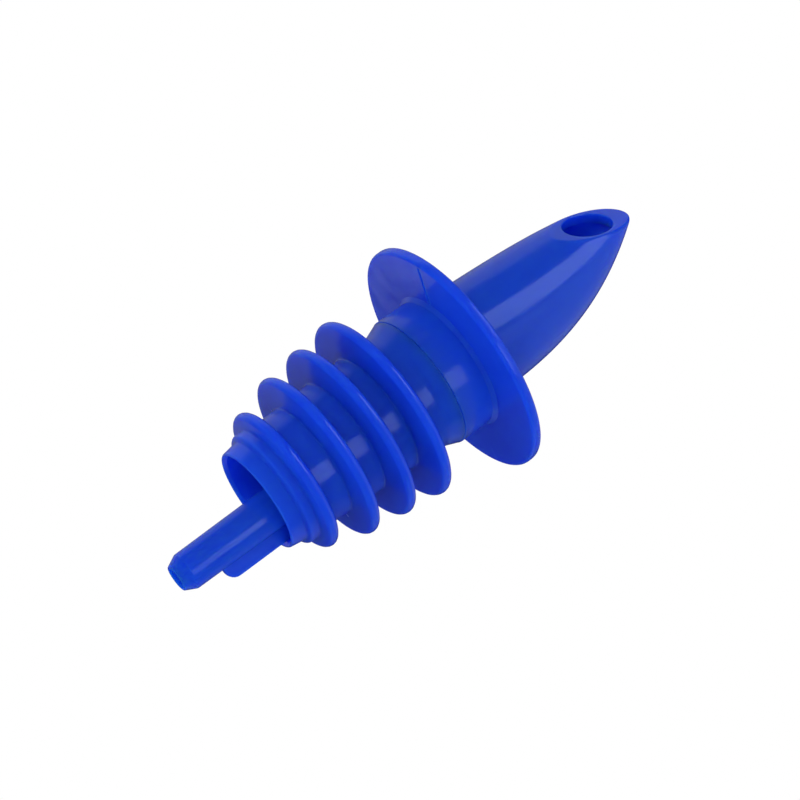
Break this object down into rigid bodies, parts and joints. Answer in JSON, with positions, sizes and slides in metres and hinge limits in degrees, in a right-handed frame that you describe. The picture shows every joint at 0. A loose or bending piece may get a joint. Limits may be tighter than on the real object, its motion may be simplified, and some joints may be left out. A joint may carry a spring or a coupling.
{
  "type": "bottle pour spout",
  "caption": "Blue plastic free-flow bottle pourer: curved tapering spout with a slanted oval mouth, thin round collar, finned tapered stopper, and a vent tube with a flat web.",
  "frame": {"origin": "Centre of the collar's underside, which rests on the bottle's lip.", "axes": "+Z along the common axis with the spout up; +X toward the side that the mouth faces, so XZ is the spout's plane of symmetry; +Y completes the right-handed frame."},
  "size_m": [0.032, 0.032, 0.0748],
  "materials": {
    "spout_body": "gloss, as moulded",
    "finned_stopper": "gloss, as moulded",
    "vent_tube": "gloss, as moulded"
  },
  "bodies": {
    "root": {"spout_body": "spout_body", "finned_stopper": "finned_stopper", "vent_tube": "vent_tube"}
  },
  "joints": []
}
